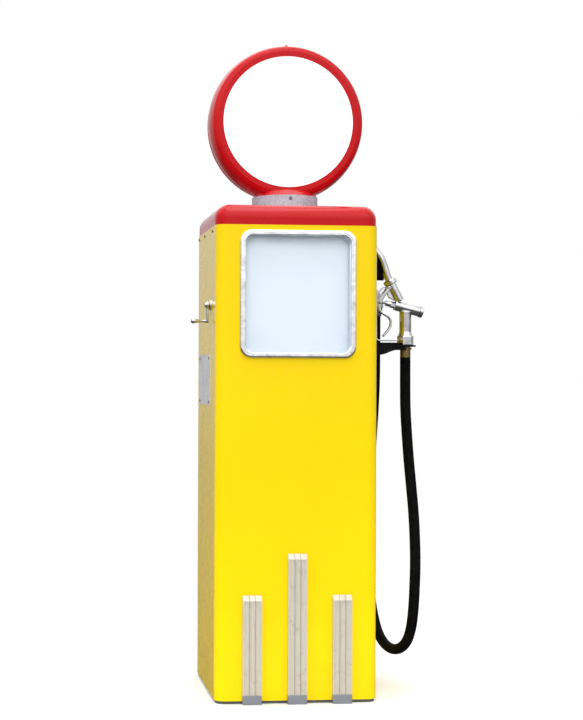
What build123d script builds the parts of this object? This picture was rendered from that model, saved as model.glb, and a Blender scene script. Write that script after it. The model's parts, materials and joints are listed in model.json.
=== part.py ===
from build123d import *

import os
from math import cos, hypot, pi, radians, sin, tan

# Petrol pump with a square cabinet, a ring globe on its roof, a reset crank on its left side,
# and a nozzle and a looped hose on its right side. Both broad faces are dial faces.
# Millimetres. The origin is the middle of the footprint on the ground.
# +X is the nozzle side, -Y is the front face, +Z is up.

# ---- Driving dimensions ----

# Cabinet
width, depth = 450, 420
cabinet_bottom, cabinet_top = 8, 1307
sheet = 2
corner_radius = 28
seam_y, seam_gap = 43, 1

# Roof cap and globe collar
cap_top, cap_corner, cap_edge = 1364, 40, 38
collar_bolt_ring, collar_bolt_radius = 72, 3
collar_radius, collar_wall, collar_top = 94, 4, 1404
wiring_hole_radius = 50

# Ring globe
globe_z = 1616
crown_radius, shoulder_radius, opening_radius = 222, 214, 186
shoulder_y, lip_y, globe_wall = 48, 57, 3
lens_radius, lens_thickness, lens_rise = 190.5, 4, 9
neck_radius, neck_bottom = 88, 1368

# Dial window, the same on both faces
window_z = 1117.5
bezel_width, bezel_height, bezel_corner, bezel_proud = 323, 351, 32, 10
opening_width, opening_height, opening_corner = 290, 321, 22
glass_front, glass_thickness = 206, 4
glass_width, glass_height, glass_corner = 304, 335, 28
tray_depth = 30

# Fluted trims, the same on both faces
trim_width, trim_thick, trim_pitch = 52, 14, 124.5
trim_tops = {"left": 295, "centre": 408, "right": 295}
trim_foot, flute_radius, flute_pitch, flute_depth, flute_stop = 24, 7.6, 16, 4, 3

# Base frame and posts
base_width, base_depth, base_height, base_wall = 440, 410, 70, 5
base_flange, base_plate = 60, 6
anchor_x, anchor_y, anchor_radius = 380, 350, 7
post_x, post_y, post_leg, post_wall = 211, 196, 40, 4
deck_z, deck_thick = 925, 3

# Reset crank, on the left side
crank_y, crank_z = -90, 1091
shaft_radius, shaft_gap = 6, 0.05
crank_arm_length, crank_reach = 45, 281

# Nozzle, in one vertical plane on the right side
nozzle_y = -20
handle_x, handle_radius = 350, 17
handle_bottom, handle_top = 1017, 1080
hex_bottom, hex_corner_radius = 983, 24.5
hose_top = 948
chamber_start, chamber_end = (318, 1097.5), (391, 1079.5)
chamber_radius, flow_radius = 14, 10
spout_base, spout_joint = (333, 1111), (306.6, 1161)
spout_radius, spout_bore_radius = 11, 9
pivot = (299.5, 1146.5)
pin_radius, pin_gap = 2.5, 0.05
lever_thick, lever_width = 5, 14
fork_inner, fork_outer = 15, 18
stem_radius = 4

# Hose, from its coupling on the cabinet to the swivel under the nozzle
hose_diameter = 30
outlet_y, outlet_z, outlet_drop_x, outlet_bottom = 90, 1146, 289, 1070

# Machinery in the lower cabinet
motor_x, motor_z, motor_radius = -100, 160, 70
pump_x, pump_z = 100, 190
pulley_y, pulley_width = -90, 20
motor_groove, pump_groove, belt_thick, belt_width = 29, 79, 8, 12
line_x, line_y = 100, 40

half_width, half_depth = width / 2, depth / 2
front_face = Plane.XZ.offset(half_depth)
rear_face = Plane(origin=(0, half_depth, 0), x_dir=(-1, 0, 0), z_dir=(0, 1, 0))
left_face = Plane(origin=(-half_width, 0, 0), x_dir=(0, -1, 0), z_dir=(-1, 0, 0))
right_face = Plane(origin=(half_width, 0, 0), x_dir=(0, 1, 0), z_dir=(1, 0, 0))
nozzle_plane = Plane.XZ.offset(-nozzle_y)

parts = {}


def keep(name, part):
    """Label a finished piece and put it on the list to be written."""
    part.label = name
    parts[name] = part


def rounded_ring(outer, inner):
    """A flat ring between two rounded rectangles, each (width, height, corner radius)."""
    RectangleRounded(*outer)
    RectangleRounded(*inner, mode=Mode.SUBTRACT)


def rod_plane(start, end, y=nozzle_y):
    """A plane across a rod that runs from start to end, both (x, z), in the vertical plane at y."""
    return Plane(origin=(start[0], y, start[1]), z_dir=(end[0] - start[0], 0, end[1] - start[1]))


def distance(start, end):
    return hypot(end[0] - start[0], end[1] - start[1])


def pan_head(seat, radius, thick, rounding):
    """A round screw head on a plane, with its outer edge rounded."""
    with BuildPart() as head:
        with BuildSketch(seat):
            Circle(radius)
        extrude(amount=thick)
        fillet(head.faces().sort_by(Axis(seat.origin, seat.z_dir))[-1].edges(), radius=rounding)
    return head.part


# ---- Base frame: an angle-iron ring with an anchor flange, under a machinery plate ----

with BuildPart() as base_frame:
    with BuildSketch():
        rounded_ring((base_width, base_depth, 20),
                     (base_width - 2 * base_wall, base_depth - 2 * base_wall, 15))
    extrude(amount=base_height)
    with BuildSketch():
        rounded_ring((base_width, base_depth, 20),
                     (base_width - 2 * base_flange, base_depth - 2 * base_flange, 10))
    extrude(amount=base_plate)
    with BuildSketch(Plane.XY.offset(base_height - base_plate)):
        RectangleRounded(base_width, base_depth, 20)
        with Locations((line_x, line_y)):
            Circle(26, mode=Mode.SUBTRACT)
    extrude(amount=base_plate)
    with BuildSketch():
        with GridLocations(anchor_x, anchor_y, 2, 2):
            Circle(anchor_radius)
    extrude(amount=base_plate, mode=Mode.SUBTRACT)
keep("base_frame", base_frame.part)

# ---- Cabinet frame: four angle-iron posts welded under a ring that the shells and the cap fix to ----

top_flange = 4
frame_gap, frame_leg, frame_wall = 0.4, 20, 3
frame_width = width - 2 * sheet - 2 * frame_gap
frame_depth = depth - 2 * sheet - 2 * frame_gap
frame_corner = corner_radius - sheet - frame_gap
screw_z, screw_radius = 1296, 2.4
side_screw_y = (-123, 43, 170)
with BuildPart() as cabinet_frame:
    with BuildSketch(Plane.XY.offset(base_height)):
        for side_x in (-1, 1):
            for side_y in (-1, 1):
                with Locations((side_x * (post_x - post_leg / 2), side_y * (post_y - post_leg / 2))):
                    Rectangle(post_leg, post_leg)
                inner_leg = post_leg - post_wall
                with Locations((side_x * (post_x - post_wall - inner_leg / 2),
                                side_y * (post_y - post_wall - inner_leg / 2))):
                    Rectangle(inner_leg, inner_leg, mode=Mode.SUBTRACT)
    extrude(amount=cabinet_top - 1 - base_height)
    with BuildSketch(Plane.XY.offset(cabinet_top - frame_leg)):
        rounded_ring((frame_width, frame_depth, frame_corner),
                     (frame_width - 2 * frame_wall, frame_depth - 2 * frame_wall, frame_corner - frame_wall))
    extrude(amount=frame_leg)
    with BuildSketch(Plane.XY.offset(cabinet_top - top_flange)):
        rounded_ring((frame_width, frame_depth, frame_corner),
                     (frame_width - 2 * post_leg, frame_depth - 2 * post_leg, 10))
    extrude(amount=top_flange)
    with BuildSketch(Plane.YZ):
        with Locations(*[(y, screw_z) for y in side_screw_y]):
            Circle(screw_radius)
    extrude(amount=half_width, both=True, mode=Mode.SUBTRACT)
keep("cabinet_frame", cabinet_frame.part)

# ---- Register deck: a shelf plate between the posts ----

with BuildPart() as register_deck:
    with BuildSketch(Plane.XY.offset(deck_z)):
        Rectangle(2 * (post_x - post_wall), 2 * (post_y - post_wall))
        with Locations((line_x, outlet_y)):
            Circle(21, mode=Mode.SUBTRACT)
    extrude(amount=deck_thick)
keep("register_deck", register_deck.part)

# ---- Cabinet shells: sheet steel, parted down both sides, with a window in each broad face ----


def shell_outline(sign):
    """The sheet's outline in plan on one side of the seam: -1 is the front, 1 is the back."""
    rounded_ring((width, depth, corner_radius), (width - 2 * sheet, depth - 2 * sheet, corner_radius - sheet))
    cut_depth = depth
    with Locations((0, seam_y + sign * (seam_gap / 2 - cut_depth / 2))):
        Rectangle(width + sheet, cut_depth, mode=Mode.SUBTRACT)


window_hole = (300, 331, 27)
with BuildPart() as front_shell:
    with BuildSketch(Plane.XY.offset(cabinet_bottom)):
        shell_outline(-1)
    extrude(amount=cabinet_top - cabinet_bottom)
    with BuildSketch(front_face):
        with Locations((0, window_z)):
            RectangleRounded(*window_hole)
    extrude(amount=-2 * sheet, mode=Mode.SUBTRACT)
    with BuildSketch(Plane.YZ):
        with Locations(*[(y, screw_z) for y in side_screw_y]):
            Circle(screw_radius)
    extrude(amount=half_width, both=True, mode=Mode.SUBTRACT)
    with BuildSketch(left_face):
        with Locations((-crank_y, crank_z)):
            Circle(shaft_radius + 2)
    extrude(amount=-2 * sheet, mode=Mode.SUBTRACT)
keep("front_shell", front_shell.part)

outlet_hole_radius = 24
with BuildPart() as back_shell:
    with BuildSketch(Plane.XY.offset(cabinet_bottom)):
        shell_outline(1)
    extrude(amount=cabinet_top - cabinet_bottom)
    with BuildSketch(rear_face):
        with Locations((0, window_z)):
            RectangleRounded(*window_hole)
    extrude(amount=-2 * sheet, mode=Mode.SUBTRACT)
    with BuildSketch(Plane.YZ):
        with Locations(*[(y, screw_z) for y in side_screw_y]):
            Circle(screw_radius)
    extrude(amount=half_width, both=True, mode=Mode.SUBTRACT)
    with BuildSketch(right_face):
        with Locations((outlet_y, outlet_z)):
            Circle(outlet_hole_radius)
    extrude(amount=-2 * sheet, mode=Mode.SUBTRACT)
keep("back_shell", back_shell.part)

# ---- Roof cap: one pressed sheet with a deep rolled edge ----

with BuildPart() as top_cap:
    with BuildSketch(Plane.XY.offset(cabinet_top)):
        RectangleRounded(width, depth, cap_corner)
    extrude(amount=cap_top - cabinet_top)
    fillet(top_cap.faces().sort_by(Axis.Z)[-1].edges(), radius=cap_edge)
    offset(amount=-sheet, openings=top_cap.faces().sort_by(Axis.Z)[0])
    with BuildSketch(Plane.XY.offset(cap_top)):
        Circle(wiring_hole_radius)
        with PolarLocations(collar_bolt_ring, 4, start_angle=45):
            Circle(collar_bolt_radius)
    extrude(amount=-2 * sheet, mode=Mode.SUBTRACT)
keep("top_cap", top_cap.part)

# ---- Globe collar: a galvanised ring with an inner foot, bolted through the cap ----

collar_foot, collar_foot_radius = 4, 60
set_screw_z, set_screw_radius, set_screw_angles = 1394, 3, (-90, 30, 150)
with BuildPart() as globe_collar:
    with BuildSketch(Plane.XY.offset(cap_top)):
        Circle(collar_radius)
        Circle(collar_radius - collar_wall, mode=Mode.SUBTRACT)
    extrude(amount=collar_top - cap_top)
    with BuildSketch(Plane.XY.offset(cap_top)):
        Circle(collar_radius)
        Circle(collar_foot_radius, mode=Mode.SUBTRACT)
        with PolarLocations(collar_bolt_ring, 4, start_angle=45):
            Circle(collar_bolt_radius, mode=Mode.SUBTRACT)
    extrude(amount=collar_foot)
    for angle in set_screw_angles:
        side = Plane(origin=(0, 0, set_screw_z), z_dir=(cos(radians(angle)), sin(radians(angle)), 0))
        with BuildSketch(side):
            Circle(set_screw_radius)
        extrude(amount=collar_radius + 1, mode=Mode.SUBTRACT)
keep("globe_collar", globe_collar.part)

# ---- Globe body: a rolled channel in two halves, parted left and right, on a round neck ----

globe_axis = Axis((0, 0, globe_z), (0, 1, 0))
globe_seam = 0.3
fin_thick, fin_proud, fin_depth, fin_half_length = 2.5, 3, 22, 20
fin_screw_radius, fin_screw_y, fin_screw_z = 2, 10, globe_z + crown_radius - 14


def globe_section(inset, floor_radius):
    """The channel's outline above its axis, in the YZ plane, drawn in by inset down to floor_radius."""
    side, shoulder = lip_y - inset, shoulder_y - inset
    shoulder_z, corner_z = globe_z + shoulder_radius - inset + 1, globe_z + shoulder_radius - inset - 9
    with BuildSketch(Plane.YZ) as section:
        with BuildLine():
            crown = ThreePointArc((-shoulder, shoulder_z), (0, globe_z + crown_radius - inset),
                                  (shoulder, shoulder_z))
            right = JernArc(crown @ 1, crown % 1, -10, 60)
            left = JernArc(crown @ 0, (crown % 0) * -1, 10, 60)
            Polyline(right @ 1, (side, corner_z - 4), (side, globe_z + floor_radius),
                     (-side, globe_z + floor_radius), (-side, corner_z - 4), left @ 1)
        make_face()
    return section.sketch


def globe_neck(radius, rim_x, rim_y, bottom):
    """The round neck, drawn in to the width of the channel above the collar."""
    with BuildPart() as neck:
        with BuildSketch(Plane.XY.offset(bottom)):
            Circle(radius)
        extrude(amount=collar_top - bottom)
        with BuildSketch(Plane.XY.offset(collar_top)):
            Circle(radius)
        with BuildSketch(Plane.XY.offset(collar_top + 21)):
            Ellipse(rim_x, rim_y)
        loft()
    return neck.part


with BuildPart() as globe_shell:
    revolve(globe_section(0, opening_radius), axis=globe_axis)
    add(globe_neck(neck_radius, 96, lip_y - 0.5, neck_bottom))
    revolve(globe_section(globe_wall, opening_radius - 30), axis=globe_axis, mode=Mode.SUBTRACT)
    add(globe_neck(neck_radius - globe_wall - 1, 92, 53, neck_bottom - 1), mode=Mode.SUBTRACT)

for name, side in (("left", -1), ("right", 1)):
    with BuildPart() as globe_half:
        add(globe_shell.part)
        with BuildSketch(Plane.XY.offset(globe_z + crown_radius + fin_proud)):
            with Locations((side * (globe_seam / 2 + fin_thick / 2), 0)):
                Rectangle(fin_thick, 2 * fin_half_length)
        extrude(amount=-fin_depth - fin_proud)
        with BuildSketch(Plane.YZ):
            with Locations((-fin_screw_y, fin_screw_z), (fin_screw_y, fin_screw_z)):
                Circle(fin_screw_radius)
        extrude(amount=fin_thick + 1, both=True, mode=Mode.SUBTRACT)
        split(bisect_by=Plane.YZ.offset(side * globe_seam / 2), keep=Keep.TOP if side > 0 else Keep.BOTTOM)
    keep(f"globe_half_{name}", globe_half.part)

# ---- Lenses: thin milk-glass discs, domed outwards, behind the lips of the channel ----

rim = lip_y - globe_wall
lens_flat = opening_radius - 4
for name, sign in (("front", -1), ("rear", 1)):
    outer_y, inner_y = sign * rim, sign * (rim - lens_thickness)
    rise = sign * lens_rise
    with BuildPart() as globe_lens:
        with BuildSketch(Plane.YZ):
            with BuildLine():
                outer = ThreePointArc((outer_y + rise, globe_z),
                                      (outer_y + rise * 0.75, globe_z + lens_flat / 2),
                                      (outer_y, globe_z + lens_flat))
                inner = ThreePointArc((inner_y + rise, globe_z),
                                      (inner_y + rise * 0.75, globe_z + lens_flat / 2),
                                      (inner_y, globe_z + lens_flat))
                Polyline(outer @ 1, (outer_y, globe_z + lens_radius), (inner_y, globe_z + lens_radius),
                         inner @ 1)
                Line(outer @ 0, inner @ 0)
            make_face()
        revolve(axis=globe_axis)
    keep(f"lens_{name}", globe_lens.part)

# ---- Globe lamp on a stalk that stands on the collar's foot ----

stalk_bottom, socket_bottom, socket_top, bulb_radius = cap_top + collar_foot, 1530, 1580, 32
foot_length, foot_width, foot_thick, stalk_radius = 160, 20, 3, 6
socket_radius, socket_bore, socket_floor, bulb_base_radius = 18, 13.5, 6, 13
with BuildPart() as lamp_socket:
    with BuildSketch(Plane.XY.offset(stalk_bottom)):
        SlotOverall(foot_length, foot_width)
    extrude(amount=foot_thick)
    with BuildSketch(Plane.XY.offset(stalk_bottom)):
        Circle(stalk_radius)
    extrude(amount=socket_bottom - stalk_bottom)
    with BuildSketch(Plane.XY.offset(socket_bottom)):
        Circle(socket_radius)
    extrude(amount=socket_top - socket_bottom)
    with BuildSketch(Plane.XY.offset(socket_bottom + socket_floor)):
        Circle(socket_bore)
    extrude(amount=socket_top - socket_bottom, mode=Mode.SUBTRACT)
    fillet(lamp_socket.faces().sort_by(Axis.Z)[-1].outer_wire().edges(), radius=1.5)
keep("lamp_socket", lamp_socket.part)

bulb_bottom, bulb_middle = socket_bottom + 8, socket_top + 45
with BuildPart() as globe_lamp:
    with BuildSketch(Plane.XZ):
        with BuildLine():
            base = Polyline((0, bulb_bottom), (bulb_base_radius, bulb_bottom), (bulb_base_radius, socket_top))
            flare = Spline(base @ 1, (19, socket_top + 18), (bulb_radius, bulb_middle),
                           (0, bulb_middle + bulb_radius), tangents=[(0, 1), (-1, 0)])
            Line(flare @ 1, base @ 0)
        make_face()
    revolve(axis=Axis.Z)
keep("globe_lamp", globe_lamp.part)

# ---- Globe screws: fin screws, collar set screws and collar foot bolts ----

screw_play, fin_nut_radius, fin_nut_thick = 0.2, 4, 2.5
collar_nut_radius, collar_nut_thick, collar_head_thick = 5.5, 3, 4
with BuildPart() as globe_screws:
    for y in (-fin_screw_y, fin_screw_y):
        with BuildSketch(Plane(origin=(-fin_thick - 0.5, y, fin_screw_z), z_dir=(1, 0, 0))):
            Circle(fin_screw_radius - screw_play)
        extrude(amount=2 * fin_thick + 1)
        for start, way in ((-fin_thick - globe_seam / 2, -1), (fin_thick + globe_seam / 2, 1)):
            with BuildSketch(Plane(origin=(start, y, fin_screw_z), z_dir=(way, 0, 0))):
                RegularPolygon(fin_nut_radius, 6)
            extrude(amount=fin_nut_thick)
    for angle in set_screw_angles:
        way = (cos(radians(angle)), sin(radians(angle)), 0)
        tip = Plane(origin=(0, 0, set_screw_z), z_dir=way).offset(neck_radius + 0.3)
        with BuildSketch(tip):
            Circle(set_screw_radius - screw_play)
        extrude(amount=collar_radius - neck_radius - 0.3)
        add(pan_head(tip.offset(collar_radius - neck_radius - 0.3), 5, 2.6, 1))
    with BuildSketch(Plane.XY.offset(cap_top - sheet - collar_nut_thick)):
        with PolarLocations(collar_bolt_ring, 4, start_angle=45):
            RegularPolygon(collar_nut_radius, 6)
    extrude(amount=collar_nut_thick)
    with BuildSketch(Plane.XY.offset(cap_top + collar_foot)):
        with PolarLocations(collar_bolt_ring, 4, start_angle=45):
            RegularPolygon(collar_nut_radius, 6)
    extrude(amount=collar_head_thick)
    with BuildSketch(Plane.XY.offset(cap_top - sheet)):
        with PolarLocations(collar_bolt_ring, 4, start_angle=45):
            Circle(collar_bolt_radius - screw_play)
    extrude(amount=sheet + collar_foot)
keep("globe_screws", globe_screws.part)

# ---- Window bezels, glasses and dial trays, the same on both faces ----

opening = (opening_width, opening_height, opening_corner)
tray_inside = (opening_width + 4, opening_height + 4, opening_corner + 2)
tray_outside = (opening_width + 4 + 2 * sheet, opening_height + 4 + 2 * sheet, opening_corner + 2 + sheet)
for name, face in (("front", front_face), ("rear", rear_face)):
    with BuildPart() as bezel:
        with BuildSketch(face):
            with Locations((0, window_z)):
                rounded_ring((bezel_width, bezel_height, bezel_corner), opening)
        extrude(amount=bezel_proud)
        crest = bezel.faces().filter_by(Axis.Y).sort_by(lambda f: abs(f.center().Y))[-1]
        fillet(crest.outer_wire().edges(), radius=6)
        crest = bezel.faces().filter_by(Axis.Y).sort_by(lambda f: abs(f.center().Y))[-1]
        fillet(crest.inner_wires()[0].edges(), radius=3)
        with BuildSketch(face.offset(bezel_proud)):
            with Locations((0, window_z)):
                rounded_ring((304, 335, 29), (299, 330, 26.5))
        extrude(amount=-3, mode=Mode.SUBTRACT)
        with BuildSketch(face):
            with Locations((0, window_z)):
                rounded_ring((window_hole[0] - 0.4, window_hole[1] - 0.4, window_hole[2] - 0.2), opening)
        extrude(amount=-(half_depth - glass_front))
    keep(f"bezel_{name}", bezel.part)

    with BuildPart() as window_glass:
        with BuildSketch(face.offset(glass_front - half_depth)):
            with Locations((0, window_z)):
                RectangleRounded(glass_width, glass_height, glass_corner)
        extrude(amount=-glass_thickness)
    keep(f"window_glass_{name}", window_glass.part)

    tray_top = glass_front - glass_thickness - half_depth
    with BuildPart() as dial_panel:
        with BuildSketch(face.offset(tray_top)):
            with Locations((0, window_z)):
                rounded_ring((glass_width, glass_height, glass_corner), tray_inside)
        extrude(amount=-sheet)
        with BuildSketch(face.offset(tray_top)):
            with Locations((0, window_z)):
                rounded_ring(tray_outside, tray_inside)
        extrude(amount=-tray_depth)
        with BuildSketch(face.offset(tray_top - tray_depth)):
            with Locations((0, window_z)):
                RectangleRounded(*tray_outside)
        extrude(amount=sheet)
    keep(f"dial_panel_{name}", dial_panel.part)

# ---- Fluted trims: three aluminium strips low on each broad face ----

for face_name, face in (("front", front_face), ("rear", rear_face)):
    for index, (side_name, top) in enumerate(trim_tops.items()):
        middle = (index - 1) * trim_pitch * (1 if face_name == "front" else -1)
        out = -1 if face_name == "front" else 1
        plan_y = out * (half_depth + trim_thick / 2)
        with BuildPart() as trim:
            with BuildSketch():
                with Locations((middle, plan_y)):
                    Rectangle(trim_width, trim_thick)
            extrude(amount=top)
            with BuildSketch(Plane.XY.offset(trim_foot)):
                flute_y = out * (half_depth + trim_thick + flute_radius - flute_depth)
                with Locations(*[(middle + n * flute_pitch, flute_y) for n in (-1, 0, 1)]):
                    Circle(flute_radius)
            extrude(amount=top - trim_foot - trim_thick - flute_stop, mode=Mode.SUBTRACT)
            with BuildSketch(Plane.YZ.offset(middle)):
                with BuildLine():
                    Polyline((out * (half_depth + 1), top + 1),
                             (out * (half_depth + trim_thick + 1), top + 1),
                             (out * (half_depth + trim_thick + 1), top - trim_thick), close=True)
                make_face()
            extrude(amount=trim_width, both=True, mode=Mode.SUBTRACT)
        keep(f"trim_{face_name}_{side_name}", trim.part)

# ---- Shell screws: pan heads along the top of both sides ----

with BuildPart() as shell_screws:
    for side in (-1, 1):
        for y in side_screw_y:
            seat = Plane(origin=(side * half_width, y, screw_z), z_dir=(side, 0, 0))
            with BuildSketch(seat.offset(-sheet - frame_gap - frame_wall)):
                Circle(screw_radius - screw_play)
            extrude(amount=sheet + frame_gap + frame_wall)
            add(pan_head(seat, 4.5, 2.4, 1.2))
keep("shell_screws", shell_screws.part)

# ---- Nameplate: a blank plate on the left side, with four screws ----

plate_front, plate_back, plate_low, plate_high, plate_thick = -81, 141, 810, 952, 1.5
plate_middle = ((plate_front + plate_back) / -2, (plate_low + plate_high) / 2)
plate_width, plate_height, plate_inset = plate_back - plate_front, plate_high - plate_low, 10
plate_hole = 2
with BuildPart() as nameplate:
    with BuildSketch(left_face):
        with Locations(plate_middle):
            RectangleRounded(plate_width, plate_height, 6)
            with GridLocations(plate_width - 2 * plate_inset, plate_height - 2 * plate_inset, 2, 2):
                Circle(plate_hole, mode=Mode.SUBTRACT)
    extrude(amount=plate_thick)
keep("nameplate", nameplate.part)

with BuildPart() as nameplate_screws:
    with BuildSketch(left_face):
        with Locations(plate_middle):
            with GridLocations(plate_width - 2 * plate_inset, plate_height - 2 * plate_inset, 2, 2):
                Circle(plate_hole - screw_play)
    extrude(amount=plate_thick)
    for y in (plate_front + plate_inset, plate_back - plate_inset):
        for z in (plate_low + plate_inset, plate_high - plate_inset):
            add(pan_head(Plane(origin=(-half_width - plate_thick, y, z), z_dir=(-1, 0, 0)), 4, 2, 1.2))
keep("nameplate_screws", nameplate_screws.part)

# ---- Reset crank: escutcheon, shaft, crank and its end screw ----

crank_plane = Plane(origin=(-half_width, crank_y, crank_z), x_dir=(0, -1, 0), z_dir=(-1, 0, 0))
escutcheon_radius, escutcheon_thick = 14.5, 5.6
hub_radius, hub_thick, hub_start = 10.5, 7, escutcheon_thick + 0.4
with BuildPart() as crank_escutcheon:
    with BuildSketch(crank_plane):
        Circle(escutcheon_radius)
        Circle(shaft_radius + shaft_gap, mode=Mode.SUBTRACT)
    extrude(amount=escutcheon_thick)
    chamfer(crank_escutcheon.faces().sort_by(Axis.X)[0].outer_wire().edges(), length=2)
keep("crank_escutcheon", crank_escutcheon.part)

arm_thick, arm_width, grip_radius = 6.5, 13, 3.5
grip_start = hub_start + arm_thick / 2
grip_length = crank_reach - half_width - grip_start
with BuildPart() as reset_crank:
    with BuildSketch(crank_plane.offset(hub_start)):
        Circle(arm_width / 2)
        with Locations((0, -crank_arm_length)):
            Circle(arm_width / 2 - 1)
        make_hull()
    extrude(amount=arm_thick)
    chamfer(reset_crank.faces().sort_by(Axis.X)[0].edges(), length=1.2)
    add(pan_head(crank_plane.offset(hub_start), hub_radius, hub_thick, 1))
    grip_origin = (-half_width, crank_y, crank_z - crank_arm_length)
    grip_plane = Plane(origin=grip_origin, x_dir=(-1, 0, 0), z_dir=(0, 1, 0))
    with BuildSketch(grip_plane):
        with BuildLine():
            grip_edge = Spline((grip_start, 4.6), (grip_start + 14, grip_radius), (grip_start + 30, 5.7),
                               (grip_start + grip_length, 0), tangents=[(1, -0.1), (0, -1)])
            Polyline(grip_edge @ 1, (grip_start, 0), grip_edge @ 0)
        make_face()
    revolve(axis=Axis(grip_origin, (1, 0, 0)))
    with BuildSketch(crank_plane.offset(hub_start - 1)):
        Circle(shaft_radius)
    extrude(amount=hub_thick - 1, mode=Mode.SUBTRACT)
    with BuildSketch(crank_plane.offset(hub_start)):
        Circle(2.2)
    extrude(amount=hub_thick + 1, mode=Mode.SUBTRACT)
keep("reset_crank", reset_crank.part)

shaft_end = 88
shaft_start = half_width + hub_start + hub_thick - 2
with BuildPart() as reset_shaft:
    with BuildSketch(Plane(origin=(-shaft_start, crank_y, crank_z), z_dir=(1, 0, 0))):
        Circle(shaft_radius)
    extrude(amount=shaft_start + shaft_end)
    with BuildSketch(Plane(origin=(-shaft_start, crank_y, crank_z), z_dir=(1, 0, 0))):
        Circle(2.2)
    extrude(amount=15, mode=Mode.SUBTRACT)
keep("reset_shaft", reset_shaft.part)

screw_seat = half_width + hub_start + hub_thick
with BuildPart() as crank_screw:
    with BuildSketch(Plane(origin=(-screw_seat, crank_y, crank_z), z_dir=(-1, 0, 0))):
        Circle(6.5)
    extrude(amount=4.5)
    fillet(crank_screw.faces().sort_by(Axis.X)[0].edges(), radius=2)
    with BuildSketch(Plane(origin=(-screw_seat, crank_y, crank_z), z_dir=(1, 0, 0))):
        Circle(2)
    extrude(amount=14)
    with BuildSketch(Plane(origin=(-screw_seat - 4.5, crank_y, crank_z), z_dir=(1, 0, 0))):
        Rectangle(1.4, 14)
    extrude(amount=1.4, mode=Mode.SUBTRACT)
keep("crank_screw", crank_screw.part)

# ---- Register: an open steel housing on the deck, with number wheels around the reset shaft ----

register_half, register_wall, register_front, register_back, register_top = 90, 3, -158, -20, 1200
with BuildPart() as register_housing:
    with BuildSketch(Plane.YZ.offset(-register_half)):
        with Locations(((register_front + register_back) / 2, (deck_z + deck_thick + register_top) / 2)):
            Rectangle(register_back - register_front, register_top - deck_z - deck_thick)
    extrude(amount=2 * register_half)
    with BuildSketch(Plane.YZ.offset(-register_half + register_wall)):
        with Locations(((register_front + register_back) / 2 - register_wall,
                        (deck_z + deck_thick + register_top) / 2)):
            Rectangle(register_back - register_front, register_top - deck_z - deck_thick - 2 * register_wall)
    extrude(amount=2 * (register_half - register_wall), mode=Mode.SUBTRACT)
    with BuildSketch(Plane.YZ):
        with Locations((crank_y, crank_z)):
            Circle(shaft_radius + shaft_gap)
    extrude(amount=register_half + 1, both=True, mode=Mode.SUBTRACT)
keep("register_housing", register_housing.part)

wheel_radius, wheel_count, wheel_pitch, wheel_width = 32, 6, 20, 15
with BuildPart() as number_wheels:
    with BuildSketch(Plane.YZ.offset(-(wheel_count * wheel_pitch) / 2)):
        with Locations((crank_y, crank_z)):
            Circle(12)
            Circle(shaft_radius + shaft_gap, mode=Mode.SUBTRACT)
    extrude(amount=wheel_count * wheel_pitch)
    for index in range(wheel_count):
        middle = (index - (wheel_count - 1) / 2) * wheel_pitch
        with BuildSketch(Plane.YZ.offset(middle)):
            with Locations((crank_y, crank_z)):
                Circle(wheel_radius)
                Circle(shaft_radius + shaft_gap, mode=Mode.SUBTRACT)
        extrude(amount=wheel_width / 2, both=True)
keep("number_wheels", number_wheels.part)

# ---- Nozzle boot: a black casting that shields the spout ----

boot_low, boot_high, boot_front, boot_back, boot_wall = 1171, 1285, -49, 17, 4
boot_brow = ((270, 1264), (287, 1248), (295, 1214), (295, boot_low))
boot_curl = ((half_width + 12, boot_high), (half_width + 25, 1262), (half_width + 30, 1230),
             (half_width + 22, boot_low))
bracket_hole_radius, bracket_bolt_radius, bracket_head_radius, bracket_head_thick = 3.2, 3, 6, 4
boot_bolts = ((nozzle_y + 4, boot_low + 18), (nozzle_y + 4, boot_high - 18))
with BuildPart() as nozzle_boot:
    with BuildSketch(right_face):
        with Locations(((boot_front + boot_back) / 2, (boot_low + boot_high) / 2)):
            RectangleRounded(boot_back - boot_front, boot_high - boot_low, 4)
    extrude(amount=boot_wall)
    with BuildSketch(Plane.XZ.offset(-boot_back)):
        with BuildLine():
            top_edge = Line((half_width, boot_high), boot_brow[0])
            brow = ThreePointArc(*boot_brow[:3])
            Polyline(brow @ 1, boot_brow[3], (half_width, boot_low), top_edge @ 0)
        make_face()
    extrude(amount=boot_wall)
    with BuildSketch(Plane.XZ.offset(-boot_front)):
        with BuildLine():
            lip = Line((half_width, boot_high), boot_curl[0])
            curl = ThreePointArc(*boot_curl[:3])
            Polyline(curl @ 1, boot_curl[3], (half_width, boot_low), lip @ 0)
        make_face()
    extrude(amount=-boot_wall)
    with BuildSketch(right_face.offset(boot_wall)):
        with Locations(*boot_bolts):
            Circle(bracket_hole_radius)
    extrude(amount=-boot_wall, mode=Mode.SUBTRACT)
keep("nozzle_boot", nozzle_boot.part)

# ---- Nozzle shelf: a bracket with webs and a fork plate around the nozzle's neck ----

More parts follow.
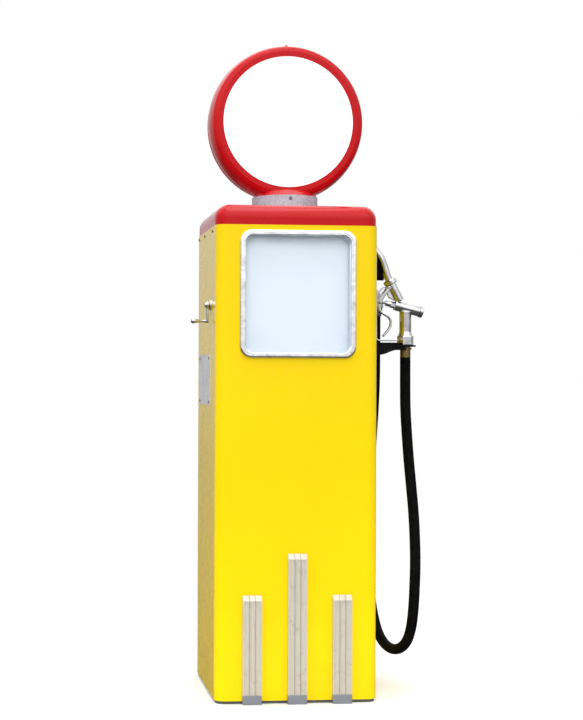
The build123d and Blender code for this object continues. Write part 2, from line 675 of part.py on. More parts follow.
shelf_front, shelf_back, shelf_top, shelf_bottom, shelf_wall = -50, 10, 990, 955, 4
shelf_end, web_end = 318, 346
shelf_belly = ((web_end, 969), (305, 966), (272, shelf_bottom))
fork_top, fork_thick, fork_start, fork_end, slot_radius = hex_bottom, 5, 310, 374, 19
shelf_bolts = ((shelf_front + 16, 972), (shelf_back - 16, 972))
with BuildPart() as nozzle_shelf:
    for y in (shelf_front, shelf_back - shelf_wall):
        with BuildSketch(Plane.XZ.offset(-y)):
            with BuildLine():
                Polyline((half_width, shelf_top), (shelf_end, shelf_top), (shelf_end + 4, fork_top),
                         (web_end, fork_top), shelf_belly[0])
                belly = Spline(*shelf_belly, tangents=[(-1, 0), (-1, -0.1)])
                Polyline(belly @ 1, (half_width, shelf_bottom), (half_width, shelf_top))
            make_face()
        extrude(amount=-shelf_wall)
    with BuildSketch(Plane.XZ.offset(-shelf_front)):
        with Locations(((half_width + shelf_end) / 2, shelf_top - shelf_wall / 2)):
            Rectangle(shelf_end - half_width, shelf_wall)
    extrude(amount=shelf_front - shelf_back)
    with BuildSketch(right_face):
        with Locations(((shelf_front + shelf_back) / 2, (shelf_bottom + shelf_top) / 2)):
            Rectangle(shelf_back - shelf_front, shelf_top - shelf_bottom)
    extrude(amount=shelf_wall)
    with BuildSketch(Plane.XY.offset(fork_top - fork_thick)):
        with Locations(((fork_start + fork_end) / 2, (shelf_front + shelf_back) / 2)):
            RectangleRounded(fork_end - fork_start, shelf_back - shelf_front, 5)
        with Locations((handle_x, nozzle_y)):
            Circle(slot_radius, mode=Mode.SUBTRACT)
        with Locations((handle_x + 25, nozzle_y)):
            Rectangle(50, 2 * slot_radius, mode=Mode.SUBTRACT)
    extrude(amount=fork_thick)
    with BuildSketch(right_face.offset(shelf_wall)):
        with Locations(*shelf_bolts):
            Circle(bracket_hole_radius)
    extrude(amount=-shelf_wall, mode=Mode.SUBTRACT)
keep("nozzle_shelf", nozzle_shelf.part)

with BuildPart() as bracket_bolts:
    with BuildSketch(right_face):
        with Locations(*boot_bolts, *shelf_bolts):
            Circle(bracket_bolt_radius)
    extrude(amount=boot_wall)
    with BuildSketch(right_face.offset(boot_wall)):
        with Locations(*boot_bolts, *shelf_bolts):
            RegularPolygon(bracket_head_radius, 6)
    extrude(amount=bracket_head_thick)
keep("bracket_bolts", bracket_bolts.part)

# ---- Outlet elbow and the hose's coupling on the cabinet ----

elbow_radius, elbow_bend, elbow_bore = 19, 32, 13
elbow_flange_radius, elbow_flange_thick, elbow_rim_radius, elbow_rim_thick = 36, 7, 23, 12
elbow_end = outlet_bottom + 25
with BuildPart() as outlet_elbow:
    with BuildSketch(right_face):
        with Locations((outlet_y, outlet_z)):
            Circle(elbow_flange_radius)
    extrude(amount=elbow_flange_thick)
    chamfer(outlet_elbow.faces().sort_by(Axis.X)[-1].edges(), length=1.5)
    with BuildLine() as elbow_path:
        FilletPolyline((half_width, outlet_y, outlet_z), (outlet_drop_x, outlet_y, outlet_z),
                       (outlet_drop_x, outlet_y, elbow_end), radius=elbow_bend)
    with BuildSketch(right_face):
        with Locations((outlet_y, outlet_z)):
            Circle(elbow_radius)
    sweep(path=elbow_path.line)
    with BuildSketch(Plane.XY.offset(elbow_end)):
        with Locations((outlet_drop_x, outlet_y)):
            Circle(elbow_rim_radius)
    extrude(amount=elbow_rim_thick)
    with BuildSketch(right_face):
        with Locations((outlet_y, outlet_z)):
            Circle(elbow_bore)
    sweep(path=elbow_path.line, mode=Mode.SUBTRACT)
keep("outlet_elbow", outlet_elbow.part)

sleeve_length, sleeve_radius, coupling_hex_radius, coupling_bore, hose_stop = 11, 17.5, 21, 10, 5
with BuildPart() as outlet_coupling:
    with BuildSketch(Plane.XY.offset(outlet_bottom + sleeve_length)):
        with Locations((outlet_drop_x, outlet_y)):
            RegularPolygon(coupling_hex_radius, 6)
    extrude(amount=elbow_end - outlet_bottom - sleeve_length)
    with BuildSketch(Plane.XY.offset(outlet_bottom)):
        with Locations((outlet_drop_x, outlet_y)):
            Circle(sleeve_radius)
    extrude(amount=sleeve_length)
    with BuildSketch(Plane.XY.offset(outlet_bottom + hose_stop)):
        with Locations((outlet_drop_x, outlet_y)):
            Circle(coupling_bore)
    extrude(amount=elbow_end - outlet_bottom - hose_stop, mode=Mode.SUBTRACT)
keep("outlet_coupling", outlet_coupling.part)

# ---- Hose: it hangs from the coupling in one long loop and comes back up to the nozzle ----

hose_route = [
    (350, -20, 948), (350, -20, 880), (350, -22.5, 800), (353.5, -28.5, 722), (357, -37, 648),
    (362, -47, 574), (366, -58, 500), (367, -68, 430), (366.5, -76, 362), (363.5, -80, 300),
    (361, -79, 238), (357, -69, 174), (349, -44, 128), (334, 0, 101), (317, 50, 101),
    (303, 93, 128), (294, 118, 174), (287, 141, 245), (283.5, 149.5, 330), (281, 149, 415),
    (280.5, 142, 505), (282, 131, 595), (284.5, 117.5, 690), (287.5, 103, 785), (289, 92, 880),
    (289, 90, 975), (289, 90, 1070),
]


def corner_radii(points, share=0.45):
    """The largest radius that each corner's two runs allow, by a share of the shorter run."""
    radii = []
    for before, corner, after in zip(points, points[1:], points[2:]):
        incoming, outgoing = Vector(corner) - Vector(before), Vector(after) - Vector(corner)
        turn = incoming.get_angle(outgoing)
        radii.append(share * min(incoming.length, outgoing.length) / tan(radians(turn / 2)))
    return radii


hose_radii = corner_radii(hose_route)
with BuildPart() as hose:
    with BuildLine() as hose_path:
        FilletPolyline(*hose_route, radius=hose_radii)
    with BuildSketch(Plane(origin=hose_path.line @ 0, z_dir=hose_path.line % 0)):
        Circle(hose_diameter / 2)
    sweep(path=hose_path.line)
keep("hose", hose.part)
hose_length = hose_path.wire().length
hose_volume = pi * (hose_diameter / 2) ** 2 * hose_length
print("hose radii", [round(r) for r in hose_radii])
print("hose length", round(hose_length), "volume share", round(hose.part.volume / hose_volume, 4))

# ---- Nozzle body: handle, valve chamber, spout base, hex union and pivot web, in one casting ----

chamber_plane = rod_plane(chamber_start, chamber_end)
chamber_length = distance(chamber_start, chamber_end)
spout_plane = rod_plane(spout_base, spout_joint)
spout_base_length = distance(spout_base, spout_joint)
web_outline = [(316, 1163), (303, 1156), (294, 1151), (292.5, 1145), (293.5, 1136), (300, 1119),
               (322, 1109), (340, 1104), (330, 1140)]
web_thick = 8
nut_start, nut_thick = spout_base_length - 3, 14
with BuildPart() as nozzle_body:
    with BuildSketch(Plane.XY.offset(hex_bottom)):
        with Locations((handle_x, nozzle_y)):
            RegularPolygon(hex_corner_radius, 6)
    extrude(amount=handle_bottom - hex_bottom - 8)
    with BuildSketch(Plane.XY.offset(handle_bottom - 8)):
        with Locations((handle_x, nozzle_y)):
            Circle(21)
    with BuildSketch(Plane.XY.offset(handle_bottom + 4)):
        with Locations((handle_x, nozzle_y)):
            Circle(handle_radius)
    loft()
    with BuildSketch(Plane.XY.offset(handle_bottom)):
        with Locations((handle_x, nozzle_y)):
            Circle(handle_radius)
    extrude(amount=handle_top - handle_bottom)
    with BuildSketch(chamber_plane):
        Circle(chamber_radius)
    extrude(amount=chamber_length)
    with BuildSketch(spout_plane):
        Circle(13)
    extrude(amount=nut_start)
    with BuildSketch(nozzle_plane.offset(-web_thick / 2)):
        with BuildLine():
            Polyline(*web_outline, close=True)
        make_face()
    extrude(amount=web_thick)
    with BuildSketch(chamber_plane.offset(6)):
        Circle(flow_radius)
    extrude(amount=chamber_length, mode=Mode.SUBTRACT)
    with BuildSketch(chamber_plane):
        Circle(stem_radius + 0.5)
    extrude(amount=10, mode=Mode.SUBTRACT)
    with BuildSketch(Plane.XY.offset(hex_bottom)):
        with Locations((handle_x, nozzle_y)):
            Circle(flow_radius)
    extrude(amount=handle_top - hex_bottom, mode=Mode.SUBTRACT)
    with BuildSketch(spout_plane.offset(12)):
        Circle(8)
    extrude(amount=spout_base_length, mode=Mode.SUBTRACT)
    with BuildSketch(nozzle_plane.offset(-fork_inner)):
        with Locations(pivot):
            Circle(pin_radius)
    extrude(amount=2 * fork_inner, mode=Mode.SUBTRACT)
    with BuildSketch(spout_plane.offset(nut_start)):
        Circle(30)
    extrude(amount=30, mode=Mode.SUBTRACT)
keep("nozzle_body", nozzle_body.part)

# ---- Spout and its ferrule ----

with BuildPart() as spout_nut:
    with BuildSketch(spout_plane.offset(nut_start)):
        Circle(19)
        Circle(spout_radius, mode=Mode.SUBTRACT)
    extrude(amount=nut_thick)
    chamfer(spout_nut.edges().filter_by(GeomType.CIRCLE).group_by(SortBy.RADIUS)[-1], length=2)
keep("spout_nut", spout_nut.part)

spout_direction = Vector(spout_joint[0] - spout_base[0], 0, spout_joint[1] - spout_base[1]).normalized()
spout_start = Vector(spout_joint[0], nozzle_y, spout_joint[1]) - spout_direction * 3
with BuildPart() as nozzle_spout:
    with BuildLine() as spout_path:
        FilletPolyline(spout_start, spout_start + spout_direction * 22, (281, nozzle_y, 1229),
                       (243, nozzle_y, 1281), radius=(60, 110))
    with BuildSketch(Plane(origin=spout_start, z_dir=spout_direction)):
        Circle(spout_radius)
        Circle(spout_bore_radius, mode=Mode.SUBTRACT)
    sweep(path=spout_path.line)
keep("nozzle_spout", nozzle_spout.part)

# ---- Valve chamber's cap, packing nut and valve stem ----

with BuildPart() as valve_cap:
    with BuildSketch(chamber_plane.offset(chamber_length)):
        Circle(16)
    extrude(amount=9)
    chamfer(valve_cap.faces().sort_by(Axis.X)[-1].edges(), length=1.5)
keep("valve_cap", valve_cap.part)

nut_length = 27
with BuildPart() as packing_nut:
    with BuildSketch(chamber_plane):
        RegularPolygon(9.6, 6)
    extrude(amount=-12)
    with BuildSketch(chamber_plane.offset(-12)):
        Circle(8)
    extrude(amount=-nut_length + 12)
    with BuildSketch(chamber_plane):
        Circle(stem_radius + shaft_gap)
    extrude(amount=-nut_length - 1, mode=Mode.SUBTRACT)
keep("packing_nut", packing_nut.part)

stem_reach = 39
with BuildPart() as valve_stem:
    with BuildSketch(chamber_plane.offset(-stem_reach)):
        Circle(stem_radius)
    extrude(amount=stem_reach + 20)
    with BuildSketch(chamber_plane.offset(20)):
        Circle(flow_radius - 1)
    extrude(amount=5)
    fillet(valve_stem.faces().sort_by(Axis.X)[0].edges(), radius=1.2)
keep("valve_stem", valve_stem.part)

# ---- Lever: a strap that forks around the spout base and turns on a pin ----

lever_line = [(274.8, 1111), (273.6, 1096), (276, 1082), (292, 1069), (304.6, 1059), (307.3, 1046),
              (303, 1032), (293, 1018), (284, 1008)]
fork_line = [pivot, (285.5, 1129), (274.8, 1111), (274, 1103)]
fork_gap = [(279.5, 1109.5), (262, 1109.5), (262, 1175), (340, 1175), (340, 1090), (279.5, 1090)]
with BuildPart() as trigger_lever:
    with BuildSketch(nozzle_plane):
        with BuildLine():
            Spline(*lever_line, tangents=[(-0.3, -1), (-0.66, -0.75)])
        trace(line_width=lever_thick)
    extrude(amount=lever_width / 2, both=True)
    with BuildSketch(nozzle_plane.offset(-fork_outer)):
        with BuildLine():
            Polyline(*fork_line)
        trace(line_width=lever_thick + 3)
        with Locations(pivot):
            Circle(5.5)
    extrude(amount=2 * fork_outer)
    with BuildSketch(nozzle_plane.offset(-fork_inner)):
        with BuildLine():
            Polyline(*fork_gap, close=True)
        make_face()
    extrude(amount=2 * fork_inner, mode=Mode.SUBTRACT)
    with BuildSketch(nozzle_plane.offset(-fork_outer)):
        with Locations(pivot):
            Circle(pin_radius + pin_gap)
    extrude(amount=2 * fork_outer, mode=Mode.SUBTRACT)
keep("trigger_lever", trigger_lever.part)

with BuildPart() as lever_pin:
    with BuildSketch(nozzle_plane.offset(-fork_outer - 1)):
        with Locations(pivot):
            Circle(pin_radius)
    extrude(amount=2 * fork_outer + 2)
    for side in (-1, 1):
        with BuildSketch(nozzle_plane.offset(side * (fork_outer + 1))):
            with Locations(pivot):
                Circle(4)
        extrude(amount=side * 2)
keep("lever_pin", lever_pin.part)

# ---- Lever guard: a strap from the spout base round to the hex union ----

guard_width, guard_thick = 12, 4
guard_line = [(294.5, 1152.5), (283, 1148.5), (266, 1128), (264, 1092), (264, 996.5), (332, 996.5)]
with BuildPart() as lever_guard:
    with BuildSketch(nozzle_plane):
        with BuildLine():
            FilletPolyline(*guard_line, radius=(10, 18, 60, 8))
        trace(line_width=guard_thick)
    extrude(amount=guard_width / 2, both=True)
    add(nozzle_body.part, mode=Mode.SUBTRACT)
    add(spout_nut.part, mode=Mode.SUBTRACT)
keep("lever_guard", lever_guard.part)

# ---- Hose swivel under the hex union ----

swivel_radius, swivel_rim_radius, swivel_neck_radius, swivel_bore = 15, 18, 14.5, 9
swivel_rim, swivel_neck, swivel_floor = 970, 976, 960
with BuildPart() as hose_swivel:
    with BuildSketch(Plane.XY.offset(hose_top)):
        with Locations((handle_x, nozzle_y)):
            Circle(swivel_radius)
    extrude(amount=swivel_rim - hose_top)
    with BuildSketch(Plane.XY.offset(swivel_rim)):
        with Locations((handle_x, nozzle_y)):
            Circle(swivel_rim_radius)
    extrude(amount=swivel_neck - swivel_rim)
    with BuildSketch(Plane.XY.offset(swivel_neck)):
        with Locations((handle_x, nozzle_y)):
            Circle(swivel_neck_radius)
    extrude(amount=hex_bottom - swivel_neck)
    with BuildSketch(Plane.XY.offset(swivel_floor)):
        with Locations((handle_x, nozzle_y)):
            Circle(swivel_bore)
    extrude(amount=hex_bottom - swivel_floor, mode=Mode.SUBTRACT)
keep("hose_swivel", hose_swivel.part)

# ---- Motor, pump, pulleys and belt ----

motor_front, motor_back, motor_feet = -50, 140, (0, 90)
axle_radius, axle_depth = 9.5, 60
foot_plate, foot_block = (150, 10), (70, 50)
with BuildPart() as motor:
    with BuildSketch(Plane.XZ.offset(-motor_front)):
        with Locations((motor_x, motor_z)):
            Circle(motor_radius)
    extrude(amount=motor_front - motor_back)
    fillet(motor.edges().filter_by(GeomType.CIRCLE), radius=10)
    for y in motor_feet:
        with BuildSketch(Plane.XZ.offset(-y)):
            with Locations((motor_x, base_height + foot_plate[1] / 2)):
                Rectangle(*foot_plate)
            with Locations((motor_x, base_height + foot_block[1] / 2)):
                Rectangle(*foot_block)
        extrude(amount=12, both=True)
    with BuildSketch(Plane.XZ.offset(-motor_front)):
        with Locations((motor_x, motor_z)):
            Circle(axle_radius + shaft_gap)
    extrude(amount=-axle_depth, mode=Mode.SUBTRACT)
keep("motor", motor.part)

pump_width, pump_depth, pump_corner, pump_y, pump_top = 130, 150, 14, 30, 250
pump_boss_radius, pump_boss_y, pump_boss_thick = 30, -45, 15
with BuildPart() as pump_unit:
    with BuildSketch(Plane.XY.offset(base_height)):
        with Locations((pump_x, pump_y)):
            RectangleRounded(pump_width, pump_depth, pump_corner)
    extrude(amount=pump_top - base_height)
    fillet(pump_unit.faces().sort_by(Axis.Z)[-1].edges(), radius=8)
    with BuildSketch(Plane.XZ.offset(-pump_boss_y)):
        with Locations((pump_x, pump_z)):
            Circle(pump_boss_radius)
    extrude(amount=pump_boss_thick)
    with BuildSketch(Plane.XZ.offset(pump_boss_thick - pump_boss_y + 1)):
        with Locations((pump_x, pump_z)):
            Circle(axle_radius + shaft_gap)
    extrude(amount=-axle_depth, mode=Mode.SUBTRACT)
keep("pump_unit", pump_unit.part)

pulleys = (("motor_pulley", motor_x, motor_z, motor_groove, 8),
           ("pump_pulley", pump_x, pump_z, pump_groove, -3))
for name, x, z, groove, shaft_end_y in pulleys:
    with BuildPart() as pulley:
        with BuildSketch(Plane.XZ.offset(-pulley_y)):
            with Locations((x, z)):
                Circle(groove + belt_thick)
        extrude(amount=pulley_width / 2, both=True)
        with BuildSketch(Plane.XZ.offset(-pulley_y)):
            with Locations((x, z)):
                Circle(groove + belt_thick + 1)
                Circle(groove, mode=Mode.SUBTRACT)
        extrude(amount=belt_width / 2 + 0.5, both=True, mode=Mode.SUBTRACT)
        with BuildSketch(Plane.XZ.offset(-pulley_y)):
            with Locations((x, z)):
                Circle(axle_radius)
        extrude(amount=pulley_y - shaft_end_y)
    keep(name, pulley.part)

belt_gap = 0.4
with BuildPart() as drive_belt:
    with BuildSketch(Plane.XZ.offset(-pulley_y)):
        with Locations((motor_x, motor_z)):
            Circle(motor_groove + belt_gap + belt_thick)
        with Locations((pump_x, pump_z)):
            Circle(pump_groove + belt_gap + belt_thick)
        make_hull()
    extrude(amount=belt_width / 2, both=True)
    with BuildSketch(Plane.XZ.offset(-pulley_y)):
        with Locations((motor_x, motor_z)):
            Circle(motor_groove + belt_gap)
        with Locations((pump_x, pump_z)):
            Circle(pump_groove + belt_gap)
        make_hull()
    extrude(amount=belt_width, both=True, mode=Mode.SUBTRACT)
keep("drive_belt", drive_belt.part)

# ---- Piping: suction pipe, air separator, meter and discharge pipe ----

suction_radius, suction_bore = 24.15, 20.45
with BuildPart() as suction_pipe:
    with BuildSketch():
        with Locations((line_x, line_y)):
            Circle(suction_radius)
            Circle(suction_bore, mode=Mode.SUBTRACT)
    extrude(amount=base_height)
keep("suction_pipe", suction_pipe.part)

separator_low, separator_top, meter_low, meter_rim, meter_top = 310, 590, 630, 690, 770
separator_radius, separator_inlet, separator_outlet = 60, 20, 17
with BuildPart() as air_separator:
    with BuildSketch(Plane.XY.offset(pump_top)):
        with Locations((line_x, line_y)):
            Circle(separator_inlet)
    extrude(amount=separator_top - pump_top)
    with BuildSketch(Plane.XY.offset(separator_low)):
        with Locations((line_x, line_y)):
            Circle(separator_radius)
    extrude(amount=separator_top - separator_low)
    fillet(air_separator.edges().filter_by(GeomType.CIRCLE).group_by(SortBy.RADIUS)[-1], radius=14)
    with BuildSketch(Plane.XY.offset(separator_top)):
        with Locations((line_x, line_y)):
            Circle(separator_outlet)
    extrude(amount=meter_low - separator_top)
keep("air_separator", air_separator.part)

meter_radius, meter_rim_radius, meter_rim_thick, meter_lid_radius = 68, 78, 10, 60
meter_bolt_ring, meter_bolt_radius, meter_bolt_thick = 69, 7, 6
meter_lid = meter_rim + meter_rim_thick
with BuildPart() as meter:
    with BuildSketch(Plane.XY.offset(meter_low)):
        with Locations((line_x, line_y)):
            Circle(meter_radius)
    extrude(amount=meter_rim - meter_low)
    with BuildSketch(Plane.XY.offset(meter_rim)):
        with Locations((line_x, line_y)):
            Circle(meter_rim_radius)
    extrude(amount=meter_rim_thick)
    with BuildSketch(Plane.XY.offset(meter_lid)):
        with Locations((line_x, line_y)):
            Circle(meter_lid_radius)
    extrude(amount=meter_top - meter_lid)
    fillet(meter.faces().sort_by(Axis.Z)[-1].edges(), radius=12)
    with BuildSketch(Plane.XY.offset(meter_lid)):
        with Locations((line_x, line_y)):
            with PolarLocations(meter_bolt_ring, 6):
                RegularPolygon(meter_bolt_radius, 6)
    extrude(amount=meter_bolt_thick)
keep("meter", meter.part)

pipe_radius, pipe_bore = 17, 13
with BuildPart() as discharge_pipe:
    with BuildLine() as pipe_path:
        FilletPolyline((line_x, line_y, meter_top), (line_x, line_y, 840), (line_x, outlet_y, 900),
                       (line_x, outlet_y, outlet_z), (half_width, outlet_y, outlet_z), radius=(40, 40, 45))
    with BuildSketch(Plane.XY.offset(meter_top)):
        with Locations((line_x, line_y)):
            Circle(pipe_radius)
            Circle(pipe_bore, mode=Mode.SUBTRACT)
    sweep(path=pipe_path.line)
keep("discharge_pipe", discharge_pipe.part)

os.makedirs("parts", exist_ok=True)
for name, part in parts.items():
    export_step(part, f"parts/{name}.step")
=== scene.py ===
import json
from math import cos, pi, radians, sin

import bmesh
import bpy
from mathutils import Matrix, Vector


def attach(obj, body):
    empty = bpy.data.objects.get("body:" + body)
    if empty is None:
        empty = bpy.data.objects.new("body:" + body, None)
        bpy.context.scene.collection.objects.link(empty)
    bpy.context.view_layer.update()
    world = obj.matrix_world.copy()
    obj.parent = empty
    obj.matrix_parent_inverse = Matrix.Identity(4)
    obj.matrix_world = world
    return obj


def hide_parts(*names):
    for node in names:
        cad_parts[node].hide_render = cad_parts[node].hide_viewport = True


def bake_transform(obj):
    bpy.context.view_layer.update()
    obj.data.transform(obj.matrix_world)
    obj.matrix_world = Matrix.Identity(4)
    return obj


# Looks for the petrol pump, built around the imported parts. Metres; +X is the nozzle side, -Y the front.

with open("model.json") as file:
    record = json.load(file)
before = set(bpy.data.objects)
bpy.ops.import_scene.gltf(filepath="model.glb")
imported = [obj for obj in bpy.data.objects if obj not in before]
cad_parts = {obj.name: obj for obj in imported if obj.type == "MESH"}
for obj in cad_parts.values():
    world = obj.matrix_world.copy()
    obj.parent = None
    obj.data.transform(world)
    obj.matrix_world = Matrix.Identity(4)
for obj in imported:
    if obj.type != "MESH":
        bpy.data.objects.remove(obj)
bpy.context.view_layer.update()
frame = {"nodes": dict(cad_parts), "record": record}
scene = bpy.context.scene
scene.view_settings.view_transform = "Standard"

# ---- Camera ----

CAMERA_PLACE = (-0.767, -4.210, 0.908)
CAMERA_YAW, CAMERA_PITCH, CAMERA_ROLL = radians(5.06), radians(0.39), radians(0.25)
CAMERA_LENS, CAMERA_SENSOR, CAMERA_SHIFT = 74.08, 36, 0.2


def make_camera():
    data = bpy.data.cameras.new("camera")
    data.lens = CAMERA_LENS
    data.sensor_width = CAMERA_SENSOR
    data.shift_x = CAMERA_SHIFT
    camera = bpy.data.objects.new("camera", data)
    scene.collection.objects.link(camera)
    level = Vector((sin(CAMERA_YAW), cos(CAMERA_YAW), 0))
    forward = level * cos(CAMERA_PITCH) + Vector((0, 0, sin(CAMERA_PITCH)))
    right = Vector((cos(CAMERA_YAW), -sin(CAMERA_YAW), 0))
    up = right.cross(forward)
    turned_right = cos(CAMERA_ROLL) * right + sin(CAMERA_ROLL) * up
    turned_up = cos(CAMERA_ROLL) * up - sin(CAMERA_ROLL) * right
    turn = Matrix((turned_right, turned_up, -forward)).transposed()
    camera.matrix_world = Matrix.Translation(CAMERA_PLACE) @ turn.to_4x4()
    scene.camera = camera


make_camera()

# ---- Node helpers ----


class Finish:
    """A material under construction: its node tree, its shader and the coordinates of the object."""

    def __init__(self, name, stretch=(1, 1, 1)):
        self.material = bpy.data.materials.new(name)
        self.material.use_nodes = True
        self.nodes, self.links = self.material.node_tree.nodes, self.material.node_tree.links
        self.shader = self.nodes["Principled BSDF"]
        place = self.nodes.new("ShaderNodeTexCoord")
        self.mapping = self.nodes.new("ShaderNodeMapping")
        self.mapping.inputs["Scale"].default_value = stretch
        self.links.new(place.outputs["Object"], self.mapping.inputs["Vector"])
        self.place = self.mapping.outputs["Vector"]
        self.normal = None

    def set(self, **values):
        """Give the shader's own sockets their constant values; coat_weight stands for Coat Weight."""
        for name, value in values.items():
            self.shader.inputs[name.replace("_", " ").title().replace("Ior", "IOR")].default_value = value

    def noise(self, size, detail=3.0, rough=0.5, distortion=0.0):
        """A noise whose features are about size metres across."""
        node = self.nodes.new("ShaderNodeTexNoise")
        node.inputs["Scale"].default_value = 0.5 / size
        node.inputs["Detail"].default_value = detail
        node.inputs["Roughness"].default_value = rough
        node.inputs["Distortion"].default_value = distortion
        self.links.new(self.place, node.inputs["Vector"])
        return node.outputs["Fac"]

    def plain_noise(self, size, detail, rough):
        """A noise on the object's own coordinates, not on the finish's stretched ones."""
        stretched = self.place
        self.place = self.nodes.new("ShaderNodeTexCoord").outputs["Object"]
        source = self.noise(size, detail, rough)
        self.place = stretched
        return source

    def cells(self, size):
        """Angular patches about size metres across, each of one colour."""
        node = self.nodes.new("ShaderNodeTexVoronoi")
        node.inputs["Scale"].default_value = 1 / size
        self.links.new(self.place, node.inputs["Vector"])
        return node.outputs["Color"]

    def waves(self, spacing, distortion):
        """Slanting bands that repeat every spacing metres."""
        node = self.nodes.new("ShaderNodeTexWave")
        node.bands_direction = "DIAGONAL"
        node.inputs["Scale"].default_value = pi / (10 * spacing)
        node.inputs["Distortion"].default_value = distortion
        self.links.new(self.place, node.inputs["Vector"])
        return node.outputs["Fac"]

    def ramp(self, source, *stops):
        """A colour ramp: each stop is (position, colour)."""
        node = self.nodes.new("ShaderNodeValToRGB")
        elements = node.color_ramp.elements
        for index, (position, colour) in enumerate(stops):
            element = elements[index] if index < 2 else elements.new(position)
            element.position = position
            element.color = (*colour, 1)
        self.links.new(source, node.inputs["Fac"])
        return node.outputs["Color"]

    def span(self, source, low, high, start=0.0, end=1.0):
        """The source's stretch from low to high, spread over start to end."""
        node = self.nodes.new("ShaderNodeMapRange")
        for name, value in (("From Min", low), ("From Max", high), ("To Min", start), ("To Max", end)):
            node.inputs[name].default_value = value
        self.links.new(source, node.inputs["Value"])
        return node.outputs["Result"]

    def axis(self, name):
        """One coordinate of the object, in metres."""
        node = self.nodes.new("ShaderNodeSeparateXYZ")
        place = self.nodes.new("ShaderNodeTexCoord")
        self.links.new(place.outputs["Object"], node.inputs["Vector"])
        return node.outputs[name]

    def times(self, first, second, operation="MULTIPLY"):
        """Two values multiplied, or joined by another operation. A value is a socket or a number."""
        node = self.nodes.new("ShaderNodeMath")
        node.operation = operation
        node.use_clamp = True
        for socket, value in zip(node.inputs, (first, second)):
            if isinstance(value, (int, float)):
                socket.default_value = value
            else:
                self.links.new(value, socket)
        return node.outputs["Value"]

    def mix(self, factor, first, second):
        """Two colours, mixed by a factor. A colour is a socket or three numbers."""
        node = self.nodes.new("ShaderNodeMix")
        node.data_type = "RGBA"
        self.links.new(factor, node.inputs["Factor"])
        for socket, value in ((node.inputs[6], first), (node.inputs[7], second)):
            if isinstance(value, tuple):
                socket.default_value = (*value, 1)
            else:
                self.links.new(value, socket)
        return node.outputs[2]

    def colour(self, source):
        self.links.new(source, self.shader.inputs["Base Color"])

    def roughness(self, source, low, high):
        """Let a noise move the roughness between low and high."""
        self.links.new(self.span(source, 0.3, 0.7, low, high), self.shader.inputs["Roughness"])

    def bump(self, source, depth, strength):
        """Raise the surface by depth metres where the source is 1. Bumps build on each other."""
        node = self.nodes.new("ShaderNodeBump")
        node.inputs["Strength"].default_value = strength
        node.inputs["Distance"].default_value = depth
        self.links.new(source, node.inputs["Height"])
        if self.normal is not None:
            self.links.new(self.normal, node.inputs["Normal"])
        self.normal = node.outputs["Normal"]
        self.links.new(self.normal, self.shader.inputs["Normal"])


# ---- Materials, one function for each kind of finish ----

DUST = (0.33, 0.25, 0.13)


def enamel(name, deep, bright, worn):
    """Gloss enamel on sheet steel: faint clouds and orange peel under a clear coat, scuffs low down."""
    finish = Finish(name)
    clouds = finish.ramp(finish.noise(0.22, 4), (0.35, deep), (0.65, bright))
    scuffs = finish.span(finish.noise(0.006, 6, 0.75), 0.66, 0.74)
    low_down = finish.span(finish.axis("Z"), 0.16, 0.0)
    wear = finish.times(scuffs, finish.times(low_down, 0.7))
    patches = finish.span(finish.noise(0.05, 5), 0.42, 0.75, 0, 0.35)
    dusty = finish.mix(finish.times(low_down, patches), clouds, worn)
    finish.colour(finish.mix(wear, dusty, DUST))
    finish.roughness(finish.noise(0.03, 4), 0.22, 0.34)
    finish.set(coat_weight=1.0, coat_roughness=0.03, coat_ior=1.24, specular_ior_level=0.08)
    finish.bump(finish.noise(0.09, 1), 0.0003, 0.2)
    finish.bump(finish.noise(0.006, 1), 0.00001, 0.1)
    return finish.material


def chrome(name, tint, dull, low, high, ripple):
    """Bright plating: slow ripples in the sheet, faint haze and a scatter of small pits."""
    finish = Finish(name)
    haze = finish.noise(0.018, 5, 0.6)
    hazed = finish.ramp(haze, (0.4, tint), (0.75, dull))
    pits = finish.span(finish.noise(0.0028, 3, 0.7), 0.70, 0.76)
    finish.bump(pits, -0.0002, 0.5)
    finish.colour(finish.mix(pits, hazed, (0.16, 0.14, 0.12)))
    finish.roughness(haze, low, high)
    finish.set(metallic=1.0)
    finish.bump(finish.noise(0.03, 2, 0.5, 0.6), ripple, 0.8)
    return finish.material


def flecked_metal(name, dark, light, low, high, grain, depth, metallic=1.0):
    """Bare or cast metal: mottled colour over a fine grain."""
    finish = Finish(name)
    flecks = finish.ramp(finish.noise(grain, 4, 0.7), (0.3, dark), (0.7, light))
    finish.colour(finish.mix(finish.noise(grain * 12, 5, 0.6), flecks, dark))
    finish.roughness(finish.noise(grain * 3, 4), low, high)
    finish.set(metallic=metallic)
    finish.bump(finish.noise(grain, 4, 0.65), depth, 0.7)
    return finish.material


def galvanised():
    """Hot-dip zinc: angular spangles in blue-greys, speckled over."""
    finish = Finish("galvanised")
    spangle = finish.ramp(finish.cells(0.006), (0.1, (0.30, 0.34, 0.40)), (0.9, (0.62, 0.66, 0.72)))
    speckle = finish.ramp(finish.noise(0.0012, 4, 0.8),
                          (0.35, (0.24, 0.27, 0.33)), (0.62, (0.66, 0.70, 0.78)))
    finish.colour(finish.mix(finish.noise(0.015, 4), spangle, speckle))
    finish.roughness(finish.noise(0.004, 3), 0.38, 0.62)
    finish.set(metallic=0.3)
    finish.bump(finish.noise(0.0014, 4, 0.7), 0.0003, 0.8)
    return finish.material


TRIM_PITCH, GROOVE_OUT, GROOVE_EDGE, GROOVE_BLUR = 0.1245, 0.0081, 0.0005, 0.001
TRIM_FOOT_LOW, TRIM_FOOT_HIGH = 0.0235, 0.0255


